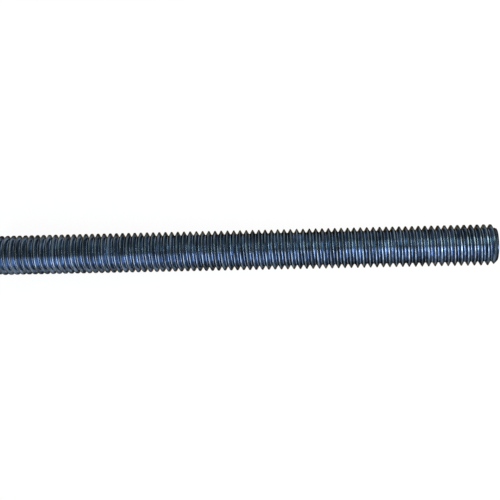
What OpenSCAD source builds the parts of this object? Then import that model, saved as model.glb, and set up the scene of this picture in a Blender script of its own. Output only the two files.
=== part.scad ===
// Fully threaded rod, M8 coarse, chamfered at both ends.
// It lies along X, with the middle of its length at the origin.

/* [Rod] */
// Length over both end faces, mm
rod_length = 100; // [20:1:120]
// Length of the chamfer at each end, along the axis, mm
chamfer_length = 0.9; // [0.3:0.1:1.5]
// Angle between the chamfer and the axis, degrees
chamfer_angle = 45; // [30:1:60]

/* [Thread] */
// Major diameter, over the crests, mm
major_d = 8; // [5:0.1:12]
// Pitch, from one crest to the next, mm
pitch = 1.25; // [1.1:0.05:2]
// Facets in one turn of the thread
facets_per_turn = 16; // [8:4:16]

/* [Hidden] */

oiled_steel = "#3c4a5e";

// ISO metric profile: a 60 degree V of height H, cut off flat by an eighth of
// the pitch at the crest and by a sixth of it at the root.
flank_angle = 60;
v_height = pitch / (2 * tan(flank_angle / 2));
crest_flat = pitch / 8;
root_flat = pitch / 6;
thread_depth = v_height * (pitch - crest_flat - root_flat) / pitch;

crest_r = major_d / 2;
root_r = crest_r - thread_depth;

// The thread is rolled a turn longer than the rod at each end, and the blank
// trims it, so that it runs out on the chamfer as a rolled thread does.
spare_turns = 1;
turns = ceil(rod_length / pitch) + 2 * spare_turns;
steps = turns * facets_per_turn;

// One pitch of the profile, as [distance along the axis, radius]: root to
// crest, over the crest and back to the root.
profile = [
    [-(pitch - root_flat) / 2, root_r],
    [-crest_flat / 2, crest_r],
    [crest_flat / 2, crest_r],
    [(pitch - root_flat) / 2, root_r]
];
corners = len(profile);

// A profile corner carried along the right-hand helix: one pitch a turn.
function on_helix(corner, step) =
    let (turn = step / facets_per_turn)
    [
        corner[0] + pitch * (turn - turns / 2),
        corner[1] * cos(360 * turn),
        corner[1] * sin(360 * turn)
    ];

// Number of the point that a corner reaches at a step.
function at(step, corner) = step * corners + corner;

// Solid core and ridge in one skin: the profile swept along the helix, each
// turn joined to the next across the root, and a fan to the axis at each end.
module helical_thread() {
    first = 0;
    last = corners - 1;
    points = [for (step = [0:steps]) for (corner = profile) on_helix(corner, step)];
    start_centre = len(points);
    end_centre = start_centre + 1;
    centres = [[-pitch * turns / 2, 0, 0], [pitch * turns / 2, 0, 0]];

    ridge = [
        for (step = [0:steps - 1]) for (corner = [first:last - 1])
            [at(step, corner), at(step + 1, corner), at(step + 1, corner + 1), at(step, corner + 1)]
    ];
    root = [
        for (step = [0:steps - facets_per_turn - 1])
            let (next_turn = step + facets_per_turn)
            [at(step, last), at(step + 1, last), at(next_turn + 1, first), at(next_turn, first)]
    ];
    start_fan = [
        for (step = [0:facets_per_turn - 1])
            [start_centre, at(step + 1, first), at(step, first)]
    ];
    start_step = concat(
        [start_centre],
        [for (corner = [first:last]) at(0, corner)],
        [at(facets_per_turn, first)]
    );
    end_fan = [
        for (step = [steps - facets_per_turn:steps - 1])
            [end_centre, at(step, last), at(step + 1, last)]
    ];
    end_step = concat(
        [end_centre],
        [for (corner = [last:-1:first]) at(steps, corner)],
        [at(steps - facets_per_turn, last)]
    );
    polyhedron(
        concat(points, centres),
        concat(ridge, root, start_fan, [start_step], end_fan, [end_step]),
        convexity = 10
    );
}

// The rod's length and its two chamfers, with room round the crests.
module chamfered_envelope() {
    crest_room = 0.5;
    half_length = rod_length / 2;
    face_r = crest_r - chamfer_length * tan(chamfer_angle);
    room_r = crest_r + crest_room;
    room_length = half_length - (room_r - face_r) / tan(chamfer_angle);
    rotate([0, 90, 0])
        rotate_extrude($fn = 96)
            polygon([
                [0, -half_length],
                [face_r, -half_length],
                [room_r, -room_length],
                [room_r, room_length],
                [face_r, half_length],
                [0, half_length]
            ]);
}

module threaded_rod() {
    color(oiled_steel)
        intersection() {
            helical_thread();
            chamfered_envelope();
        }
}

threaded_rod();
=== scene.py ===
"""Looks of an M8 x 1.25 rod, threaded over its whole length: cold-rolled steel, blackened in a
hot oxide bath and oiled, on a pale floor under three softboxes."""

import math

import bmesh
import bpy
import numpy as np
from mathutils import Matrix, Vector


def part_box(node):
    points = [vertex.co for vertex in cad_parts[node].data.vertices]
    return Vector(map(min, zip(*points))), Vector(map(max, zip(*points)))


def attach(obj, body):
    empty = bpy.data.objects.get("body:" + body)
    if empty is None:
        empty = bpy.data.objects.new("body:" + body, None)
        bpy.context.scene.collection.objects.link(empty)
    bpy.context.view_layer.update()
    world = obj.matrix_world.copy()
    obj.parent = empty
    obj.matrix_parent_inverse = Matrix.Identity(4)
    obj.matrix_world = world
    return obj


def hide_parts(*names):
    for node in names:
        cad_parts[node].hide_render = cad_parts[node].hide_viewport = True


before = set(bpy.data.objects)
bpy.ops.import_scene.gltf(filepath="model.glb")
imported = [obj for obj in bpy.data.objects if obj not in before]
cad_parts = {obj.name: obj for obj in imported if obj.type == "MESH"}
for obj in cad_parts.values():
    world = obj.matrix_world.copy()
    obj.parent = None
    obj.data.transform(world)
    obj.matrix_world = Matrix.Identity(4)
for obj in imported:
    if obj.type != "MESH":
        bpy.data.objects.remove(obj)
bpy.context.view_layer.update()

MM = 0.001

# ---------------------------------------------------------------- sizes of the rod
low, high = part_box("threaded_rod")
LENGTH = high.x - low.x
CREST_R = (high.y - low.y) / 2

# The thread is coarse, right-hand and single-start. It is rolled a turn longer than the rod
# at each end, and drawn back to the end faces.
PITCH = 1.25 * MM
SPARE_TURNS = 1
TURNS = round(LENGTH / PITCH) + 2 * SPARE_TURNS
STEPS_PER_TURN = 64

# The profile is a 60 degree V with a narrow flat crest, rounded at the crest's two corners and
# along the root. Each arc has this many points.
FLANK_ANGLE = math.radians(60)
CREST_LAND = 0.10 * MM
CREST_ARC = 0.06 * MM
ROOT_ARC = PITCH / 8
ARC_POINTS = 4

# Rolling leaves the crest short of full height here and there, and a shallow lap that
# wanders along it, where the metal of the two flanks met.
CREST_DROP = 0.022 * MM
LAP_DEPTH = 0.04 * MM
LAP_HALF_WIDTH = 0.035 * MM
LAP_DRIFT = 0.02 * MM

# How these vary along the thread: each as a sum of waves, with frequencies between the
# slowest and the fastest, in waves a turn.
DROP_WAVES = {"count": 9, "slowest": 0.05, "fastest": 2.6, "seed": 11}
DRIFT_WAVES = {"count": 7, "slowest": 0.1, "fastest": 1.7, "seed": 23}
LAP_WAVES = {"count": 8, "slowest": 0.06, "fastest": 1.9, "seed": 5}

# Each end is chamfered at 45 degrees and faced in a lathe, where the tool leaves a groove for
# each step of its feed, and the sharp edge between chamfer and face is broken.
CHAMFER_LENGTH = 0.9 * MM
FACE_R = CREST_R - CHAMFER_LENGTH
CORNER_LENGTH = 0.08 * MM
CORNER_DEPTH = 0.048 * MM
FACE_FEED = 0.3 * MM
FACE_GROOVE = 0.025 * MM
STEPS_PER_FEED = 6

# Points of the skin that lie closer than this are one point.
WELD = 0.0005 * MM


# ---------------------------------------------------------------- shape of the rod
def profile():
    """Half of the thread's profile, from the middle of the crest to the middle of the root, as
    distance across the pitch and depth under the crest: half of the flat crest, the arc that
    turns down from it to the flank, the straight flank, and the root's arc, which starts at
    the flank's angle and ends level. On an arc of radius r, the point where the profile is
    tilted by a lies r sin(a) from the arc's level point, and r (1 - cos(a)) off its height."""
    tilt = np.linspace(0, FLANK_ANGLE, ARC_POINTS)
    crest_across = CREST_LAND / 2 + CREST_ARC * np.sin(tilt)
    crest_depth = CREST_ARC * (1 - np.cos(tilt))
    root_across = PITCH / 2 - ROOT_ARC * np.sin(tilt[::-1])
    flank_depth = (root_across[0] - crest_across[-1]) * math.tan(FLANK_ANGLE)
    flank_foot = crest_depth[-1] + flank_depth
    root_depth = flank_foot + ROOT_ARC * (np.cos(tilt[::-1]) - math.cos(FLANK_ANGLE))
    across = np.concatenate([[0], crest_across, root_across])
    depth = np.concatenate([[0], crest_depth, root_depth])
    return across, depth


half_across, half_depth = profile()
PROFILE_ACROSS = np.concatenate([-half_across[:0:-1], half_across])
PROFILE_DEPTH = np.concatenate([half_depth[:0:-1], half_depth])
ROOT_R = CREST_R - half_depth[-1]


def smooth_noise(turn, count, slowest, fastest, seed):
    """A sum of sines of the turn, with seeded frequencies and phases. The sum of n sines is
    divided by twice its root mean square, sqrt(n / 2), which leaves it within about -1..1."""
    draw = np.random.default_rng(seed)
    frequencies = draw.uniform(slowest, fastest, count)
    phases = draw.uniform(0, 2 * math.pi, count)
    total = sum(np.sin(2 * math.pi * f * turn + p) for f, p in zip(frequencies, phases))
    return total / (2 * math.sqrt(count / 2))


def thread_radius(turn, across, depth):
    """Radius of the rolled thread at a turn and a point of the profile. It is the crest's
    radius less the depth, but no more than the crest's own height there, which is lower by
    the drop times a noise kept within 0..1. The lap is a groove in that, with its depth times
    exp(-(d / w)^2) at a distance d from its middle, where w is its half width."""
    shortfall = np.clip(0.5 + 0.5 * smooth_noise(turn, **DROP_WAVES), 0, 1)
    lap_middle = LAP_DRIFT * smooth_noise(turn, **DRIFT_WAVES)
    lap_depth = LAP_DEPTH * np.clip(smooth_noise(turn, **LAP_WAVES), 0, 1)
    lap = lap_depth * np.exp(-(((across - lap_middle) / LAP_HALF_WIDTH) ** 2))
    return np.minimum(CREST_R - depth, CREST_R - CREST_DROP * shortfall) - lap


def end_envelope(x):
    """Largest radius at x: the face's radius plus the distance from the face, which is the 45
    degree chamfer, less the broken edge. That is a quarter of an ellipse: with t the share of
    the corner's length from the face, it takes off its depth times 1 - sqrt(1 - (1 - t)^2)."""
    from_face = LENGTH / 2 - np.abs(x)
    t = np.clip(from_face / CORNER_LENGTH, 0, 1)
    return FACE_R + from_face - CORNER_DEPTH * (1 - np.sqrt(1 - (1 - t) ** 2))


def about_axis(x, radius, angle):
    """One list of points from their places along the axis, radii and angles about it: each
    point is (x, radius cos(angle), radius sin(angle))."""
    x, radius, angle = np.broadcast_arrays(x, radius, angle)
    points = np.stack([x, radius * np.cos(angle), radius * np.sin(angle)], axis=-1)
    return points.reshape(-1, 3)


def grid_quads(rows, columns, closed):
    """Quads between neighbours in a grid of points that are numbered row by row. A closed
    grid joins its last column to its first."""
    steps = columns if closed else columns - 1
    row, column = np.meshgrid(np.arange(rows - 1), np.arange(steps), indexing="ij")
    here = row * columns + column
    beside = row * columns + (column + 1) % columns
    return np.stack([here, here + columns, beside + columns, beside], axis=-1).reshape(-1, 4)


def thread_skin():
    """Points and faces of the thread as one strip along the helix. A row is a step of the
    turn, which moves the profile a pitch along the axis for each full turn about it, and a
    column is a point of the profile. What would pass an end face is drawn back to its rim."""
    rows = TURNS * STEPS_PER_TURN + 1
    turn = np.arange(rows)[:, None] / STEPS_PER_TURN
    x = PITCH * (turn - TURNS / 2) + PROFILE_ACROSS
    x = np.clip(x, -LENGTH / 2, LENGTH / 2)
    radius = thread_radius(turn, PROFILE_ACROSS, PROFILE_DEPTH)
    radius = np.minimum(radius, end_envelope(x))
    points = about_axis(x, radius, 2 * math.pi * turn)
    return points, grid_quads(rows, len(PROFILE_ACROSS), closed=False)


def turned_end(side):
    """Points, quads and the middle's triangles of one end face, as rings about the axis that
    shrink to a point. The facing tool leaves a groove for each step of its feed: with f the
    share of the step that is done at a radius, the face lies back by the groove's depth times
    4 f (1 - f)."""
    rim = float(end_envelope(LENGTH / 2))
    rings = round(rim / FACE_FEED * STEPS_PER_FEED)
    radius = np.linspace(rim, 0, rings, endpoint=False)[:, None]
    angle = 2 * math.pi * np.arange(STEPS_PER_TURN) / STEPS_PER_TURN
    step_share = np.mod((rim - radius) / FACE_FEED, 1.0)
    back = FACE_GROOVE * 4 * step_share * (1 - step_share)
    points = about_axis(side * (LENGTH / 2 - back), radius, angle)
    middle = [[side * (LENGTH / 2 - FACE_GROOVE), 0, 0]]

    inner_ring = (rings - 1) * STEPS_PER_TURN + np.arange(STEPS_PER_TURN)
    tip = np.full(STEPS_PER_TURN, len(points))
    fan = np.stack([inner_ring, np.roll(inner_ring, -1), tip], axis=-1)
    return np.concatenate([points, middle]), grid_quads(rings, STEPS_PER_TURN, closed=True), fan


def rod_mesh():
    """The thread's skin and both end faces, welded to one closed surface that faces out."""
    points, quads = thread_skin()
    faces = quads.tolist()
    for side in (-1, 1):
        end_points, end_quads, end_fan = turned_end(side)
        faces += (end_quads + len(points)).tolist()
        faces += (end_fan + len(points)).tolist()
        points = np.concatenate([points, end_points])
    mesh = bpy.data.meshes.new("threaded_rod_skin")
    mesh.from_pydata(points, [], faces)
    bm = bmesh.new()
    bm.from_mesh(mesh)
    bmesh.ops.remove_doubles(bm, verts=bm.verts, dist=WELD)
    bmesh.ops.dissolve_degenerate(bm, edges=bm.edges, dist=WELD)
    bmesh.ops.recalc_face_normals(bm, faces=bm.faces)
    bm.to_mesh(mesh)
    bm.free()
    mesh.polygons.foreach_set("use_smooth", np.ones(len(mesh.polygons), bool))
    return mesh


# ---------------------------------------------------------------- finish of the rod
# The colour changes with height on the thread. Over the oxide's own blue-grey, the root is a
# lighter blue, which is painted light that lifts the shade in the grooves. The crest is a
# darker grey, which is painted shade that stands for the dark reflections along the rod's rims.
# The shares of the thread's height say where the root's colour ends, the flank's begins and
# ends, and the crest's begins.
ROOT_TO = 0.06
FLANK_FROM = 0.2
FLANK_TO = 0.75
CREST_FROM = 0.95
ROOT_PAINTED_LIGHT_COLOUR = "#64748a"
FLANK_COLOUR = "#5c6c82"
CREST_PAINTED_SHADE_COLOUR = "#58626c"
ROOT_ROUGHNESS = 0.19
FLANK_ROUGHNESS = 0.21
CREST_ROUGHNESS = 0.19

# The film is thin, so the steel still shines as a metal does, and at a grazing angle the
# film turns olive-brown.
METALLIC = 0.96
GRAZING_TINT = "#887010"

# The bath leaves darker and lighter patches. Their depth is the range of the share by which
# they change the colour, and detail and roughness are those of their broken edges.
PATCH = 3.5 * MM
PATCH_DEPTH = 0.7
PATCH_DETAIL = 6.0
PATCH_ROUGHNESS = 0.65

# The lines that the rolls draw along the thread are a few hundredths of a millimetre apart,
# which is too fine to show, so they are drawn as coarse as GRAIN.
GRAIN = 0.22 * MM
GRAIN_ALONG = 3 * MM
GRAIN_DEPTH = 1.2
GRAIN_DETAIL = 2.0
GRAIN_ROUGHNESS = 0.5
GRAIN_BUMP = 0.012 * MM

# Nearly all of a noise's values lie between these two.
NOISE_LOW = 0.3
NOISE_HIGH = 0.7

# The colour is darker at each end. It fades over the inner half of this band, and is at this
# share of itself in the outer half.
END_BAND = 0.8 * MM
END_SHARE = 0.3


def srgb(code):
    """Linear red, green, blue and alpha of a hex colour."""
    channels = [int(code[i : i + 2], 16) / 255 for i in (1, 3, 5)]
    linear = [c / 12.92 if c <= 0.04045 else ((c + 0.055) / 1.055) ** 2.4 for c in channels]
    return (*linear, 1.0)


def dimmed(code, share):
    """Linear colour of a hex code, at a share of its light."""
    return (*(share * c for c in srgb(code)[:3]), 1.0)


def add(tree, kind, settings=None, inputs=None, links=None, stops=None):
    """A new node of a kind, with its settings, its sockets' values, what feeds its sockets
    and, on a ramp, its stops from low to high as pairs of place and colour."""
    node = tree.nodes.new(kind)
    for name, value in (settings or {}).items():
        setattr(node, name, value)
    for socket, value in (inputs or {}).items():
        node.inputs[socket].default_value = value
    for socket, source in (links or {}).items():
        tree.links.new(source, node.inputs[socket])
    for number, (place, colour) in enumerate(stops or []):
        elements = node.color_ramp.elements
        stop = elements[number] if number < len(elements) else elements.new(place)
        stop.position = place
        stop.color = colour
    return node


def empty_tree(owner):
    """The node tree of a material, a lamp or a world, with nothing in it."""
    owner.use_nodes = True
    owner.node_tree.nodes.clear()
    return owner.node_tree


def blackened_oiled_steel():
    """Cold-rolled steel with a hot black oxide under oil. To the eye it is a dark blue-grey
    metal and no black paint: the rolled flanks and roots are smooth, so under a lamp each
    turn gives a narrow bright gleam, broken by the rolls' fine lines, and is nearly black
    beside it. The bath leaves it slightly blotched."""
    material = bpy.data.materials.new("blackened_oiled_steel")
    tree = empty_tree(material)
    place = add(tree, "ShaderNodeTexCoord").outputs["Object"]
    parts = add(tree, "ShaderNodeSeparateXYZ", links={"Vector": place})

    # Height on the thread, from 0 at the root to 1 at the crest.
    off_axis = add(
        tree,
        "ShaderNodeCombineXYZ",
        links={"Y": parts.outputs["Y"], "Z": parts.outputs["Z"]},
    )
    radius = add(
        tree,
        "ShaderNodeVectorMath",
        {"operation": "LENGTH"},
        links={"Vector": off_axis.outputs["Vector"]},
    )
    height = add(
        tree,
        "ShaderNodeMapRange",
        inputs={"From Min": ROOT_R, "From Max": CREST_R},
        links={"Value": radius.outputs["Value"]},
    )
    # The colour by height is the oxide's blue-grey, with painted light in the root and painted
    # shade on the crest.
    heights = (ROOT_TO, FLANK_FROM, FLANK_TO, CREST_FROM)
    colours = (ROOT_PAINTED_LIGHT_COLOUR, FLANK_COLOUR, FLANK_COLOUR, CREST_PAINTED_SHADE_COLOUR)
    roughnesses = (ROOT_ROUGHNESS, FLANK_ROUGHNESS, FLANK_ROUGHNESS, CREST_ROUGHNESS)
    oxide = add(
        tree,
        "ShaderNodeValToRGB",
        links={"Fac": height.outputs["Result"]},
        stops=[(h, srgb(colour)) for h, colour in zip(heights, colours)],
    )
    roughness = add(
        tree,
        "ShaderNodeValToRGB",
        links={"Fac": height.outputs["Result"]},
        stops=[(h, (value, value, value, 1.0)) for h, value in zip(heights, roughnesses)],
    )

    # The bath's patches, and the rolls' lines, which are fine along the axis and long about it.
    patches = add(
        tree,
        "ShaderNodeTexNoise",
        inputs={"Scale": 1 / PATCH, "Detail": PATCH_DETAIL, "Roughness": PATCH_ROUGHNESS},
        links={"Vector": place},
    )
    stretched = add(
        tree,
        "ShaderNodeMapping",
        inputs={"Scale": (1 / GRAIN, 1 / GRAIN_ALONG, 1 / GRAIN_ALONG)},
        links={"Vector": place},
    )
    grain = add(
        tree,
        "ShaderNodeTexNoise",
        inputs={"Scale": 1.0, "Detail": GRAIN_DETAIL, "Roughness": GRAIN_ROUGHNESS},
        links={"Vector": stretched.outputs["Vector"]},
    )

    # Share of the oxide's colour that shows: the end's times the patch's times the line's.
    from_middle = add(
        tree, "ShaderNodeMath", {"operation": "ABSOLUTE"}, links={0: parts.outputs["X"]}
    )
    end = add(
        tree,
        "ShaderNodeMapRange",
        inputs={
            "From Min": LENGTH / 2 - END_BAND,
            "From Max": LENGTH / 2 - END_BAND / 2,
            "To Min": 1.0,
            "To Max": END_SHARE,
        },
        links={"Value": from_middle.outputs[0]},
    )
    share = end.outputs["Result"]
    for noise, depth in ((patches, PATCH_DEPTH), (grain, GRAIN_DEPTH)):
        change = add(
            tree,
            "ShaderNodeMapRange",
            inputs={
                "From Min": NOISE_LOW,
                "From Max": NOISE_HIGH,
                "To Min": 1 - depth / 2,
                "To Max": 1 + depth / 2,
            },
            links={"Value": noise.outputs["Fac"]},
        )
        product = add(
            tree,
            "ShaderNodeMath",
            {"operation": "MULTIPLY"},
            links={0: share, 1: change.outputs["Result"]},
        )
        share = product.outputs[0]
    base = add(
        tree,
        "ShaderNodeVectorMath",
        {"operation": "SCALE"},
        links={"Vector": oxide.outputs["Color"], "Scale": share},
    )

    bump = add(
        tree,
        "ShaderNodeBump",
        inputs={"Strength": 1.0, "Distance": GRAIN_BUMP},
        links={"Height": grain.outputs["Fac"]},
    )
    steel = add(
        tree,
        "ShaderNodeBsdfPrincipled",
        inputs={"Metallic": METALLIC, "Specular Tint": srgb(GRAZING_TINT)},
        links={
            "Base Color": base.outputs["Vector"],
            "Roughness": roughness.outputs["Color"],
            "Normal": bump.outputs["Normal"],
        },
    )
    add(tree, "ShaderNodeOutputMaterial", links={"Surface": steel.outputs["BSDF"]})
    return material


rod = bpy.data.objects.new("rolled_thread_rod", rod_mesh())
bpy.context.scene.collection.objects.link(rod)
rod.data.materials.append(blackened_oiled_steel())
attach(rod, "root")
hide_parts("threaded_rod")

# ---------------------------------------------------------------- floor
# The camera and the rod's reflections see the floor as white by this share, and as card by
# the rest, which takes the shadow.
WHITE = "#ffffff"
FLOOR_WHITE = 0.91
FLOOR_CARD = "#f2f2f2"
FLOOR_REACH = 6000 * MM


def white_card():
    """Matt white card. It gives the eye no gleam, only the rod's soft shadow."""
    material = bpy.data.materials.new("white_card")
    tree = empty_tree(material)
    card = add(tree, "ShaderNodeBsdfDiffuse", inputs={"Color": srgb(FLOOR_CARD)})
    white = add(tree, "ShaderNodeEmission", inputs={"Color": srgb(WHITE), "Strength": 1.0})
    rays = add(tree, "ShaderNodeLightPath")
    seen = rays.outputs["Is Camera Ray"]
    for ray in ("Is Glossy Ray", "Is Transmission Ray"):
        either = add(
            tree,
            "ShaderNodeMath",
            {"operation": "ADD", "use_clamp": True},
            links={0: seen, 1: rays.outputs[ray]},
        )
        seen = either.outputs[0]
    share = add(
        tree,
        "ShaderNodeMath",
        {"operation": "MULTIPLY"},
        inputs={1: FLOOR_WHITE},
        links={0: seen},
    )
    mixed = add(
        tree,
        "ShaderNodeMixShader",
        links={0: share.outputs[0], 1: card.outputs[0], 2: white.outputs[0]},
    )
    add(tree, "ShaderNodeOutputMaterial", links={"Surface": mixed.outputs[0]})
    return material


def shadow_floor():
    """A wide flat square, level with the underside of the rod's crests."""
    signs = ((-1, -1), (1, -1), (1, 1), (-1, 1))
    corners = [(x * FLOOR_REACH, y * FLOOR_REACH, -CREST_R) for x, y in signs]
    mesh = bpy.data.meshes.new("floor")
    mesh.from_pydata(corners, [], [(0, 1, 2, 3)])
    mesh.materials.append(white_card())
    floor = bpy.data.objects.new("floor", mesh)
    bpy.context.scene.collection.objects.link(floor)


shadow_floor()

# ---------------------------------------------------------------- camera
# The camera stands over FOOT_X on the rod's axis, looks at AIM_X, and leaves the rod's -X
# end out of its picture. Its sensor and lens are in millimetres.
ELEVATION = math.radians(78)
DISTANCE = 187.6 * MM
FOOT_X = 19.55 * MM
AIM_X = 1.95 * MM
ROLL = math.radians(1.27)
SENSOR_WIDTH = 36
LENS = 68.3
CLIP_NEAR = 10 * MM
CLIP_FAR = 10000 * MM


def looking(place, target):
    """Placement of what looks from a place at a target, with its width in one plane with the
    rod's axis."""
    back = (place - target).normalized()
    along = Vector((1, 0, 0))
    right = (along - back * along.dot(back)).normalized()
    turn = Matrix((right, back.cross(right), back)).transposed().to_4x4()
    return Matrix.Translation(place) @ turn


def studio_camera():
    """A camera that looks steeply down on the rod, from in front of it."""
    data = bpy.data.cameras.new("camera")
    data.sensor_width = SENSOR_WIDTH
    data.lens = LENS
    data.clip_start = CLIP_NEAR
    data.clip_end = CLIP_FAR
    camera = bpy.data.objects.new("camera", data)
    bpy.context.scene.collection.objects.link(camera)
    front = DISTANCE * math.cos(ELEVATION)
    place = Vector((FOOT_X, -front, DISTANCE * math.sin(ELEVATION)))
    roll = Matrix.Rotation(-ROLL, 4, "Z")
    camera.matrix_world = looking(place, Vector((AIM_X, 0, 0))) @ roll
    bpy.context.scene.camera = camera


studio_camera()

# ---------------------------------------------------------------- lamps
# The key draws the long gleam along the rod's front, the overhead lamp a dimmer one along its
# top, and the glint brightens the turns toward the +X end. Angles are in degrees.
SOFTBOXES = {
    "key": {
        "radiance": 5.2,
        "colour": "#dee8ff",
        "over": 0 * MM,
        "far": 1200 * MM,
        "lean": -4,
        "lean_half": 18,
        "rise": 30.5,
        "rise_half": 37.5,
    },
    "overhead": {
        "radiance": 7.4,
        "colour": "#f2fff0",
        "over": 50 * MM,
        "far": 120 * MM,
        "lean": 11,
        "lean_half": 11,
        "rise": 103,
        "rise_half": 29,
    },
    "glint": {
        "radiance": 10.3,
        "colour": "#eef4ff",
        "over": 42 * MM,
        "far": 80 * MM,
        "lean": 9,
        "lean_half": 13,
        "rise": 60,
        "rise_half": 19,
    },
}

# Share of a softbox's height over which its light falls off, half of it at each rim.
RIM_FALL = 0.6


def fade_to_rims(lamp):
    """Light that falls off smoothly to nothing at the lower and upper rim of a softbox."""
    tree = empty_tree(lamp)
    place = add(tree, "ShaderNodeNewGeometry").outputs["Parametric"]
    parts = add(tree, "ShaderNodeSeparateXYZ", links={"Vector": place})
    from_middle = add(
        tree,
        "ShaderNodeMath",
        {"operation": "SUBTRACT"},
        inputs={1: 0.5},
        links={0: parts.outputs["Y"]},
    )
    distance = add(
        tree, "ShaderNodeMath", {"operation": "ABSOLUTE"}, links={0: from_middle.outputs[0]}
    )
    share = add(
        tree,
        "ShaderNodeMapRange",
        {"interpolation_type": "SMOOTHSTEP"},
        inputs={
            "From Min": 0.5 - RIM_FALL / 2,
            "From Max": 0.5,
            "To Min": 1.0,
            "To Max": 0.0,
        },
        links={"Value": distance.outputs[0]},
    )
    glow = add(tree, "ShaderNodeEmission", links={"Strength": share.outputs["Result"]})
    add(tree, "ShaderNodeOutputLight", links={"Surface": glow.outputs[0]})


def softbox(name, radiance, colour, over, far, lean, lean_half, rise, rise_half):
    """A rectangular lamp on an arch over the rod. It faces the point of the rod's axis at
    x = over, from the distance far. rise is the angle along the arch, from the horizon in
    front (0) over the top (90) to the horizon behind (180), and lean is the angle by which
    the lamp stands toward the rod's +X end. The two half angles give its size, and radiance
    is what the rod sees of it."""
    lean, lean_half, rise, rise_half = np.radians([lean, lean_half, rise, rise_half])
    target = Vector((over, 0, 0))
    front = math.cos(lean) * math.cos(rise)
    away = Vector((math.sin(lean), -front, math.cos(lean) * math.sin(rise)))
    data = bpy.data.lights.new(name, "AREA")
    data.shape = "RECTANGLE"
    data.size = 2 * far * math.tan(lean_half)
    data.size_y = 2 * far * math.tan(rise_half)
    data.energy = radiance * math.pi * data.size * data.size_y
    data.color = srgb(colour)[:3]
    fade_to_rims(data)
    lamp = bpy.data.objects.new(name, data)
    lamp.visible_camera = False
    bpy.context.scene.collection.objects.link(lamp)
    lamp.matrix_world = looking(target + away * far, target)


for name, settings in SOFTBOXES.items():
    softbox(name, **settings)

# ---------------------------------------------------------------- room
# The room's light by the height of the direction, from 0 at the horizon to 1 overhead: a
# white wall low down, a duller one above it, and a dark ceiling.
WALL_TO = 0.2
UPPER_WALL_FROM = 0.32
UPPER_WALL_TO = 0.78
CEILING_FROM = 0.88
UPPER_WALL_COLOUR = "#f4fff4"
UPPER_WALL_LIGHT = 0.85
CEILING_COLOUR = "#f6fff6"
CEILING_LIGHT = 0.38


def studio_room():
    """The room around the rod, which gives its metal something to reflect on every side."""
    world = bpy.data.worlds.new("studio")
    bpy.context.scene.world = world
    tree = empty_tree(world)
    way = add(tree, "ShaderNodeTexCoord").outputs["Generated"]
    parts = add(tree, "ShaderNodeSeparateXYZ", links={"Vector": way})
    upper_wall = dimmed(UPPER_WALL_COLOUR, UPPER_WALL_LIGHT)
    room = add(
        tree,
        "ShaderNodeValToRGB",
        links={"Fac": parts.outputs["Z"]},
        stops=[
            (WALL_TO, srgb(WHITE)),
            (UPPER_WALL_FROM, upper_wall),
            (UPPER_WALL_TO, upper_wall),
            (CEILING_FROM, dimmed(CEILING_COLOUR, CEILING_LIGHT)),
        ],
    )
    light = add(
        tree,
        "ShaderNodeBackground",
        inputs={"Strength": 1.0},
        links={"Color": room.outputs["Color"]},
    )
    add(tree, "ShaderNodeOutputWorld", links={"Surface": light.outputs[0]})


studio_room()
bpy.context.scene.view_settings.view_transform = "Standard"
